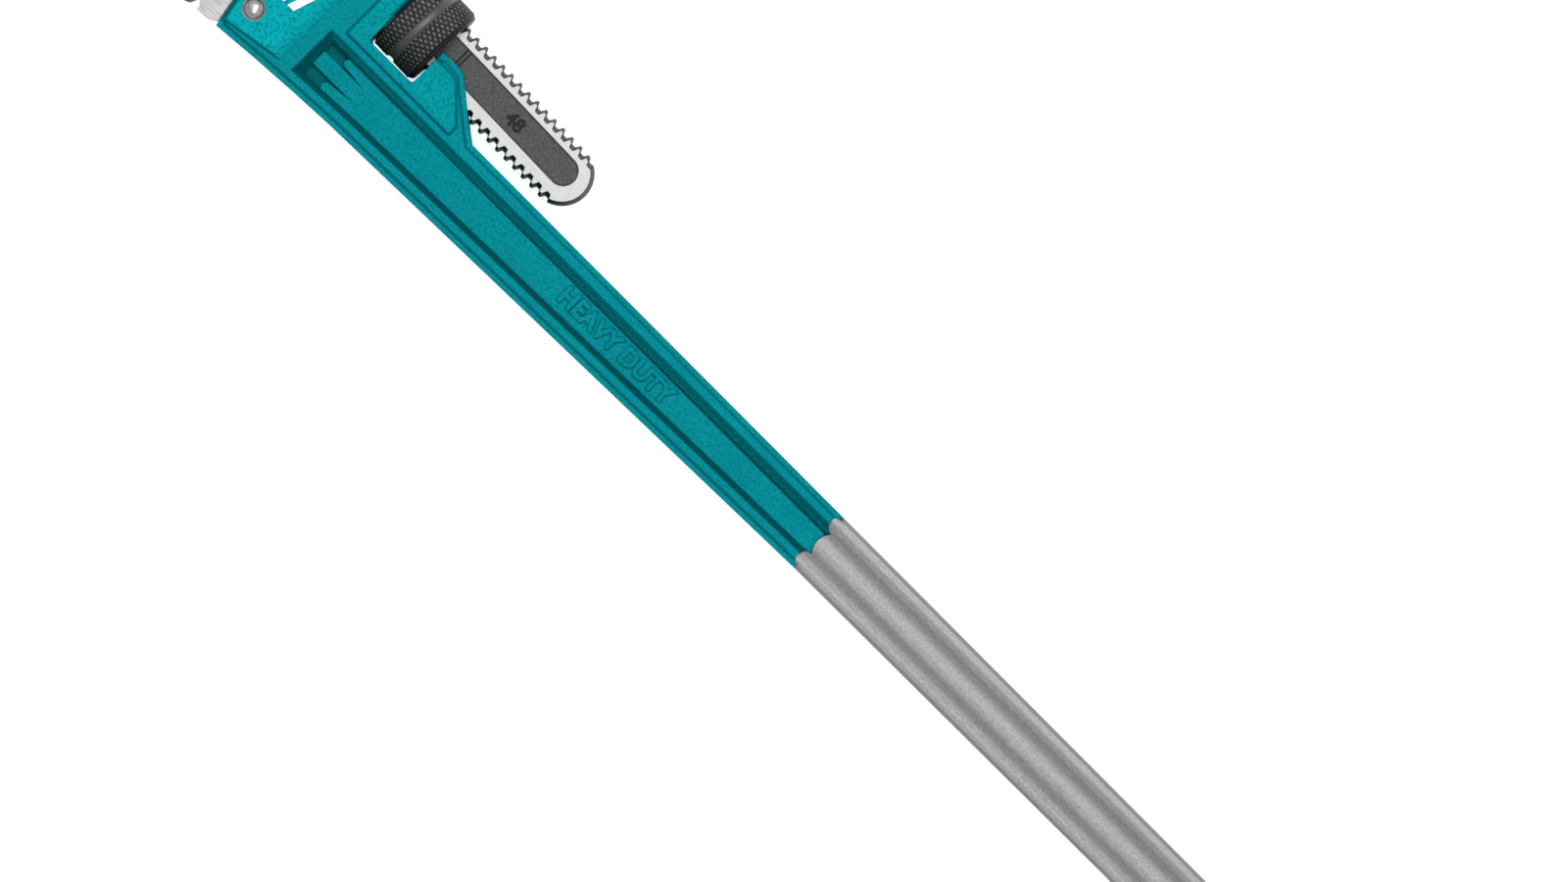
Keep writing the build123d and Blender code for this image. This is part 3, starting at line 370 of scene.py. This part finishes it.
def forged_steel():
    """Drop-forged steel, blackened by heat treatment, its shank's two faces then ground bright.
    The recess keeps a grey scale, and the thread and every rim a darker one; painted shade darkens
    the corners and widens the black on rims that face -Y."""
    material, tree, shader, place = start_material("blackened_forging_ground_flats")
    facing = add(tree, "ShaderNodeBevel", {"Radius": RIM_REACH}, samples=8)
    flat = add(tree, "ShaderNodeNewGeometry")
    turn = add(tree, "ShaderNodeVectorMath", {0: facing.outputs[0], 1: flat.outputs["Normal"]},
               operation="DOT_PRODUCT")
    even = add(tree, "ShaderNodeMapRange", {0: turn.outputs["Value"], 1: 0.93, 2: 0.98})
    # painted shade: rims whose normal leans to -Y stay black further in
    leaning = add(tree, "ShaderNodeSeparateXYZ", {0: facing.outputs[0]})
    unshaded_side = add(tree, "ShaderNodeMapRange", {0: leaning.outputs["Y"], 1: -0.20, 2: -0.08})
    inside_and_unshaded = add(tree, "ShaderNodeMath", {0: even.outputs[0], 1: unshaded_side.outputs[0]}, operation="MULTIPLY")
    face = level_mask(tree, place, SHANK_FACE - FACE_REACH, SHANK_FACE - FACE_EDGE)
    below = level_mask(tree, place, SHANK_FACE + FACE_EDGE, SHANK_FACE + FACE_REACH)
    only = add(tree, "ShaderNodeMath", {0: face, 1: below}, operation="SUBTRACT", use_clamp=True)
    ground = add(tree, "ShaderNodeMath", {0: only.outputs[0], 1: inside_and_unshaded.outputs[0]}, operation="MULTIPLY")
    scale = add(tree, "ShaderNodeTexNoise", {"Vector": place, "Scale": 1 / FLECK, "Detail": 4.0,
                                             "Roughness": 0.7})
    spread = add(tree, "ShaderNodeMapRange", {0: scale.outputs["Fac"], 1: 0.35, 2: 0.65})
    grey = add(tree, "ShaderNodeMix", {0: spread.outputs[0], 6: linear("#212122"), 7: linear("#4B4B4C")},
               data_type="RGBA").outputs[2]
    # painted shade in the corners, from ambient occlusion, down to near black
    open_sky = add(tree, "ShaderNodeAmbientOcclusion", {"Distance": FORGING_CORNER_SHADE}, samples=8)
    foot = add(tree, "ShaderNodeMapRange", {0: open_sky.outputs["AO"], 1: 0.60, 2: 0.88})
    clear = add(tree, "ShaderNodeMath", {0: foot.outputs[0], 1: inside_and_unshaded.outputs[0]}, operation="MULTIPLY")
    # near black on the rims, and painted shade in the corners and on the -Y side
    rim = add(tree, "ShaderNodeMix", {0: clear.outputs[0], 6: linear("#0B0B0C"), 7: grey},
              data_type="RGBA").outputs[2]
    stretch = add(tree, "ShaderNodeVectorMath", {0: place, 1: (1.0, 14.0, 1.0)}, operation="MULTIPLY")
    lines = add(tree, "ShaderNodeTexNoise", {"Vector": stretch.outputs[0], "Scale": 1 / SHANK_LINES,
                                             "Detail": 5.0})
    bright = add(tree, "ShaderNodeMix", {0: lines.outputs["Fac"], 6: linear("#A0A09F"),
                                         7: linear("#C6C6C5")},
                 data_type="RGBA").outputs[2]
    colour = add(tree, "ShaderNodeMix", {0: ground.outputs[0], 6: rim, 7: bright},
                 data_type="RGBA").outputs[2]
    metal = add(tree, "ShaderNodeMapRange", {0: ground.outputs[0], 3: 0.2, 4: 0.35})
    rough = add(tree, "ShaderNodeMapRange", {0: ground.outputs[0], 3: 0.55, 4: 0.45})
    bump = add(tree, "ShaderNodeBump", {"Height": scale.outputs["Fac"], "Strength": 0.5,
                                        "Distance": FLECK_DEPTH})
    fill(tree, shader, {"Base Color": colour, "Metallic": metal.outputs[0],
                        "Roughness": rough.outputs[0], "Normal": bump.outputs[0]})
    return material


def struck_figures():
    """The forging's black scale, left thick on its small raised figures and gauge lines."""
    material, tree, shader, place = start_material("black_forging_scale")
    scale = add(tree, "ShaderNodeTexNoise", {"Vector": place, "Scale": 1 / FIGURE_SCALE, "Detail": 3.0})
    colour = add(tree, "ShaderNodeMix", {0: scale.outputs["Fac"], 6: linear("#161617"),
                                         7: linear("#2C2C2D")},
                 data_type="RGBA").outputs[2]
    bump = add(tree, "ShaderNodeBump", {"Height": scale.outputs["Fac"], "Strength": 0.4,
                                        "Distance": FINE_DEPTH})
    fill(tree, shader, {"Base Color": colour, "Normal": bump.outputs[0], "Roughness": 0.6,
                        "Specular IOR Level": 0.15})
    return material


def ground_steel():
    """Hardened tool steel, surface ground: bright, with fine straight lines across the jaw."""
    material, tree, shader, place = start_material("surface_ground_tool_steel")
    stretch = add(tree, "ShaderNodeMapping", {"Vector": place, "Rotation": (0, 0, JAW_LINES_TURN),
                                              "Scale": (1.0, 16.0, 1.0)})
    lines = add(tree, "ShaderNodeTexNoise", {"Vector": stretch.outputs[0], "Scale": 1 / JAW_LINES,
                                             "Detail": 6.0})
    spread = add(tree, "ShaderNodeMapRange", {0: lines.outputs["Fac"], 1: 0.3, 2: 0.7})
    colour = add(tree, "ShaderNodeMix", {0: spread.outputs[0], 6: linear("#858686"),
                                         7: linear("#C0C0BF")},
                 data_type="RGBA")
    rough = add(tree, "ShaderNodeMapRange", {0: spread.outputs[0], 3: 0.34, 4: 0.48})
    bump = add(tree, "ShaderNodeBump", {"Height": lines.outputs["Fac"], "Strength": 0.25,
                                        "Distance": FINE_DEPTH})
    fill(tree, shader, {"Base Color": colour.outputs[2], "Roughness": rough.outputs[0],
                        "Normal": bump.outputs[0], "Metallic": 0.35})
    return material


def peened_steel():
    """Bright bar steel, its end hammered to a dome: small flats that catch the light."""
    material, tree, shader, place = start_material("peened_bar_steel")
    dents = add(tree, "ShaderNodeTexVoronoi", {"Vector": place, "Scale": 1 / PEEN_DENT})
    colour = add(tree, "ShaderNodeMix", {0: dents.outputs["Distance"], 6: linear("#E8E8E7"),
                                         7: linear("#A5A5A4")},
                 data_type="RGBA")
    bump = add(tree, "ShaderNodeBump", {"Height": dents.outputs["Distance"], "Strength": 0.5,
                                        "Distance": PEEN_DEPTH})
    fill(tree, shader, {"Base Color": colour.outputs[2], "Normal": bump.outputs[0], "Metallic": 0.7,
                        "Roughness": 0.3})
    return material


def blackened_nut():
    """Black-oxided steel, knurled: dull in the grooves, lighter on the diamonds' points in noisy
    patches, partly rubbing and partly painted highlight, and painted lighter on the smooth waist
    between the two bands as a painted highlight."""
    material, tree, shader, place = start_material("black_oxide_knurled_steel")
    centre, axis = nut_place()
    away = add(tree, "ShaderNodeVectorMath", {0: place, 1: tuple(-centre)}, operation="ADD")
    across = add(tree, "ShaderNodeVectorMath", {0: away.outputs[0], 1: tuple(axis)},
                 operation="CROSS_PRODUCT")
    radius = add(tree, "ShaderNodeVectorMath", {0: across.outputs[0]}, operation="LENGTH")
    along = add(tree, "ShaderNodeVectorMath", {0: away.outputs[0], 1: tuple(axis)},
                operation="DOT_PRODUCT")
    # the diamonds' points lighter in noisy patches: partly rubbing, partly painted highlight
    point = add(tree, "ShaderNodeMapRange", {0: radius.outputs["Value"], 1: NUT_R - RUB_HIGHLIGHT_DEPTH, 2: NUT_R})
    patch = add(tree, "ShaderNodeTexNoise", {"Vector": place, "Scale": 1 / RUB_HIGHLIGHT_PATCH, "Detail": 3.0})
    rubbed_and_highlit = add(tree, "ShaderNodeMath", {0: point.outputs[0], 1: patch.outputs["Fac"]},
                 operation="MULTIPLY")
    knurled = add(tree, "ShaderNodeMix", {0: rubbed_and_highlit.outputs[0], 6: linear("#191919"),
                                          7: linear("#B0B0B0")},
                  data_type="RGBA").outputs[2]
    # painted highlight: the smooth waist lighter than the knurl
    middle = (WAIST_FROM + WAIST_TO) / 2
    reach = (WAIST_TO - WAIST_FROM) / 2 - 0.3 * MM
    waist = add(tree, "ShaderNodeMath", {0: along.outputs["Value"], 1: middle, 2: reach},
                operation="COMPARE")
    colour = add(tree, "ShaderNodeMix", {0: waist.outputs[0], 6: knurled, 7: linear("#545454")},
                 data_type="RGBA").outputs[2]
    fine = add(tree, "ShaderNodeTexNoise", {"Vector": place, "Scale": 1 / OXIDE, "Detail": 3.0})
    bump = add(tree, "ShaderNodeBump", {"Height": fine.outputs["Fac"], "Strength": 0.3,
                                        "Distance": FINE_DEPTH})
    fill(tree, shader, {"Base Color": colour, "Normal": bump.outputs[0], "Metallic": 0.4,
                        "Roughness": 0.48})
    return material


def spring_steel():
    """Blued spring steel: dark, smooth, drifting from brown to blue."""
    material, tree, shader, place = start_material("blued_spring_steel")
    drift = add(tree, "ShaderNodeTexNoise", {"Vector": place, "Scale": 1 / BLUING, "Detail": 2.0})
    colour = add(tree, "ShaderNodeMix", {0: drift.outputs["Fac"], 6: linear("#3A3A44"),
                                         7: linear("#5A5048")},
                 data_type="RGBA")
    fill(tree, shader, {"Base Color": colour.outputs[2], "Metallic": 0.9, "Roughness": 0.3})
    return material


# ---------------------------------------------------------------- pieces

def nut_profile(bm):
    """Half section of the nut as a closed ring of vertices: x along it, y away from its axis."""
    half = NUT_LENGTH / 2
    row = KNURL_ALONG / 2
    points = [(-half, NUT_BORE_R), (-half, NUT_R - NUT_CHAMFER)]
    for start, end in KNURLED_BANDS:
        count = round((end - start) / row)
        points += [(start + (end - start) * i / count, NUT_R) for i in range(count + 1)]
        if end == WAIST_FROM:
            width = WAIST_TO - WAIST_FROM
            for i in range(1, WAIST_STEPS):
                share = i / WAIST_STEPS
                points.append((WAIST_FROM + width * share, NUT_R - WAIST_DEPTH * (1 - (2 * share - 1) ** 4)))
    points += [(half, NUT_R - NUT_CHAMFER), (half, NUT_BORE_R)]
    verts = [bm.verts.new((x, y, 0)) for x, y in points]
    edges = [bm.edges.new((verts[i], verts[(i + 1) % len(verts)])) for i in range(len(verts))]
    return verts + edges


def knurl(bm, around):
    """Cuts crossing grooves in the two bands: every other vertex sinks, and grooves join them."""
    row = KNURL_ALONG / 2
    grooves, points = [], []
    for vert in bm.verts:
        x = vert.co.x
        if sqrt(vert.co.y ** 2 + vert.co.z ** 2) < NUT_R - 0.01 * MM:
            continue
        start, end = KNURLED_BANDS[0] if x < (WAIST_FROM + WAIST_TO) / 2 else KNURLED_BANDS[1]
        count = round((end - start) / row)
        place = round((x - start) / (end - start) * count)
        step = round(atan2(vert.co.z, vert.co.y) / (2 * pi / around))
        if (place + step) % 2:
            vert.co.yz *= 1 - KNURL_DEPTH / NUT_R
            grooves.append(vert)
        elif 0 < place < count:
            points.append(vert)
    bmesh.ops.connect_verts(bm, verts=grooves)
    bmesh.ops.bevel(bm, geom=points, offset=DIAMOND_FLAT, offset_type="OFFSET", segments=1, profile=0.5,
                    affect="VERTICES", material=-1)


def nut_thread(bm):
    """The nut's internal thread: one ridge, screwed along the bore."""
    turns = (NUT_LENGTH - 2 * NUT_CHAMFER) / THREAD_PITCH - THREAD_TRIM
    steps = int(turns * THREAD_STEPS)
    foot = NUT_BORE_R + THREAD_LET_IN
    section = [(-THREAD_TIP_HALF, THREAD_ROOT_R), (-THREAD_FOOT_HALF, foot), (THREAD_FOOT_HALF, foot),
               (THREAD_TIP_HALF, THREAD_ROOT_R)]
    start = -THREAD_PITCH * steps / THREAD_STEPS / 2
    face = bm.faces.new([bm.verts.new((x + start, y, 0)) for x, y in section])
    spot = 2 * pi * start / THREAD_PITCH
    bmesh.ops.rotate(bm, verts=face.verts, cent=(0, 0, 0), matrix=Matrix.Rotation(spot, 3, "X"))
    bmesh.ops.spin(bm, geom=[face], cent=(0, 0, 0), axis=(1, 0, 0), angle=2 * pi * steps / THREAD_STEPS,
                   steps=steps, dvec=(THREAD_PITCH / THREAD_STEPS, 0, 0))


def adjusting_nut(material):
    around = 2 * round(2 * pi * NUT_R / KNURL_ROUND)
    bm = bmesh.new()
    bmesh.ops.spin(bm, geom=nut_profile(bm), cent=(0, 0, 0), axis=(1, 0, 0), angle=2 * pi, steps=around,
                   use_merge=True)
    bmesh.ops.remove_doubles(bm, verts=bm.verts, dist=WELD)
    knurl(bm, around)
    nut_thread(bm)
    bmesh.ops.recalc_face_normals(bm, faces=bm.faces)
    centre, axis = nut_place()
    tilt = atan2(axis.y, axis.x)
    bm.transform(Matrix.Translation(centre) @ Matrix.Rotation(tilt, 4, "Z"))
    return finish_mesh("knurled_nut", bm, material, "nut", ["adjusting_nut"])


def rounded_casting(name, node, radius, material, body):
    """A copy of a casting with the rims of its border, flange faces and pads rounded."""
    bm = bmesh.new()
    bm.from_mesh(frame["nodes"][node].data)
    bmesh.ops.remove_doubles(bm, verts=bm.verts, dist=WELD)
    bmesh.ops.dissolve_limit(bm, angle_limit=CAST_FLAT_ANGLE, verts=bm.verts, edges=bm.edges)
    outer = [e for e in bm.edges if e.calc_face_angle_signed(0.0) > CAST_RIM_ANGLE
             and all(abs(v.co.z) > RIM_LEVEL for v in e.verts)]
    bmesh.ops.bevel(bm, geom=outer, offset=radius, offset_type="OFFSET", segments=2, profile=0.5,
                    affect="EDGES", material=-1, clamp_overlap=False)
    bmesh.ops.recalc_face_normals(bm, faces=bm.faces)
    return finish_mesh(name, bm, material, body, [node])


def face_height(node, x, y, side):
    """How far out the surface of a CAD node lies at x and y, on one side of the mid-plane."""
    place = frame["nodes"][node].ray_cast(Vector((x, y, side)), Vector((0, 0, -side)))[1]
    return abs(place.z)


def raised_text(name, words, left, low, height, rise, surface, side, material, body, width=None,
                bold=0.0):
    """Cast lettering that stands on a face: it reads left to right on either side."""
    curve = bpy.data.curves.new(name, "FONT")
    curve.body = words
    curve.size = 1.0
    curve.extrude = LETTER_DEPTH
    curve.bevel_depth = LETTER_ROUND
    curve.bevel_resolution = 1
    curve.offset = bold
    curve.resolution_u = 4
    source = bpy.data.objects.new(name, curve)
    bpy.context.scene.collection.objects.link(source)
    mesh = bpy.data.meshes.new_from_object(source)
    bpy.data.objects.remove(source)
    bm = bmesh.new()
    bm.from_mesh(mesh)
    bmesh.ops.remove_doubles(bm, verts=bm.verts, dist=LETTER_WELD)
    low_x = min(v.co.x for v in bm.verts)
    high_x = max(v.co.x for v in bm.verts)
    low_y = min(v.co.y for v in bm.verts)
    high_y = max(v.co.y for v in bm.verts)
    deep = max(v.co.z for v in bm.verts)
    bmesh.ops.translate(bm, verts=bm.verts, vec=(-low_x, -low_y, deep))
    tall = height / (high_y - low_y)
    wide = width / (high_x - low_x) if width else tall
    sink = rise * LETTER_SINK
    bmesh.ops.scale(bm, verts=bm.verts, vec=(wide, tall, (rise + sink) / (2 * deep)))
    bmesh.ops.translate(bm, verts=bm.verts, vec=(left, low, surface - sink))
    if side < 0:
        middle = (left + (wide * (high_x - low_x)) / 2, low + height / 2, 0)
        for axis in "XZ":
            bmesh.ops.rotate(bm, verts=bm.verts, cent=middle, matrix=Matrix.Rotation(pi, 3, axis))
    bmesh.ops.recalc_face_normals(bm, faces=bm.faces)
    return finish_mesh(name, bm, material, body)


def raised_bars(name, spots, size, slant, rise, surface, side, material, body):
    """Plain raised bars with softened rims, all leaning by the same slant."""
    bm = bmesh.new()
    thick = rise * BAR_THICK
    for spot in spots:
        made = bmesh.ops.create_cube(bm, size=1.0)["verts"]
        bmesh.ops.scale(bm, verts=made, vec=(size.x, size.y, thick))
        for vert in made:
            vert.co.x += slant * vert.co.y
        bmesh.ops.translate(bm, verts=made, vec=(spot.x, spot.y, side * (surface + rise - thick / 2)))
    tops = [e for e in bm.edges if all(abs(v.co.z) > surface for v in e.verts)]
    bmesh.ops.bevel(bm, geom=tops, offset=rise * BAR_ROUND, offset_type="OFFSET", segments=2, profile=0.5,
                    affect="EDGES", material=-1)
    bmesh.ops.recalc_face_normals(bm, faces=bm.faces)
    return finish_mesh(name, bm, material, body)


# ---------------------------------------------------------------- stage

def area_light(name, place, aim, size, power):
    data = bpy.data.lights.new(name, "AREA")
    data.shape = "RECTANGLE"
    data.size, data.size_y = size
    data.energy = power
    lamp = bpy.data.objects.new(name, data)
    bpy.context.scene.collection.objects.link(lamp)
    lamp.location = place
    lamp.rotation_euler = (Vector(aim) - Vector(place)).to_track_quat("-Z", "Y").to_euler()


def stage():
    """A plain white table under the wrench, in soft studio light."""
    low, high = cad_box
    bm = bmesh.new()
    bmesh.ops.create_grid(bm, x_segments=1, y_segments=1, size=FLOOR_SIZE)
    bmesh.ops.translate(bm, verts=bm.verts, vec=(AIM.x, AIM.y, low[2] - FLOOR_GAP))
    mesh = bpy.data.meshes.new("floor")
    bm.to_mesh(mesh)
    bm.free()
    floor = bpy.data.objects.new("floor", mesh)
    bpy.context.scene.collection.objects.link(floor)
    material, tree, shader, place = start_material("white_table")
    fill(tree, shader, {"Base Color": linear("#C8C8C8"), "Roughness": 0.9, "Specular IOR Level": 0.0,
                        "Emission Color": (1, 1, 1, 1), "Emission Strength": FLOOR_GLOW})
    mesh.materials.append(material)
    world = bpy.data.worlds.new("studio")
    world.use_nodes = True
    world.node_tree.nodes["Background"].inputs["Color"].default_value = (1, 1, 1, 1)
    world.node_tree.nodes["Background"].inputs["Strength"].default_value = SKY_STRENGTH
    bpy.context.scene.world = world
    bpy.context.scene.view_settings.view_transform = "Standard"
    for name, offset, size, power in STUDIO_LIGHTS:
        area_light(name, AIM + Vector(offset), AIM, size, power)


# ---------------------------------------------------------------- the whole wrench

def main():
    make_camera()
    enamel = cast_enamel()
    nut = blackened_nut()
    finishes = {
        "handle": enamel,
        "grip": grey_vinyl(),
        "hook_jaw": forged_steel(),
        "heel_jaw": ground_steel(),
        "heel_jaw_pin": peened_steel(),
        "leaf_spring": spring_steel(),
        "leaf_spring_pin": peened_steel(),
        "coil_spring": spring_steel(),
        "adjusting_nut": nut,
    }
    for name, material in finishes.items():
        mesh = frame["nodes"][name].data
        mesh.materials.clear()
        mesh.materials.append(material)
    adjusting_nut(nut)
    white = white_enamel()
    figures = struck_figures()
    for side, label in ((1, "front"), (-1, "back")):
        web = face_height("handle", (LETTERS_FROM + LETTERS_TO) / 2, 0, side)
        raised_text("web_letters_" + label, "HEAVY DUTY", LETTERS_FROM, LETTERS_LOW, LETTER_HEIGHT,
                    LETTER_RISE, web, side, enamel, "handle_body",
                    LETTERS_TO - LETTERS_FROM, LETTER_BOLD)
        spots = [MARK_AT + Vector((i * MARK_STEP, 0)) for i in range(MARK_BARS)]
        pad = face_height("handle", MARK_AT.x, MARK_AT.y, side)
        raised_bars("white_mark_" + label, spots, MARK_BAR, MARK_SLANT, MARK_RISE, pad, side, white,
                    "handle_body")
        floor = face_height("hook_jaw", GAUGE_LINES[0], GAUGE_Y, side)
        lines = [Vector((x, GAUGE_Y)) for x in GAUGE_LINES]
        raised_bars("gauge_lines_" + label, lines, GAUGE_LINE, 0.0, GAUGE_RISE, floor, side, figures,
                    "hook")
        raised_text("size_figure_" + label, "48", SIZE_AT.x, SIZE_AT.y, SIZE_HEIGHT, SIZE_RISE, floor,
                    side, figures, "hook")
    rounded_casting("cast_handle", "handle", CAST_ROUND, enamel, "handle_body")
    stage()


main()
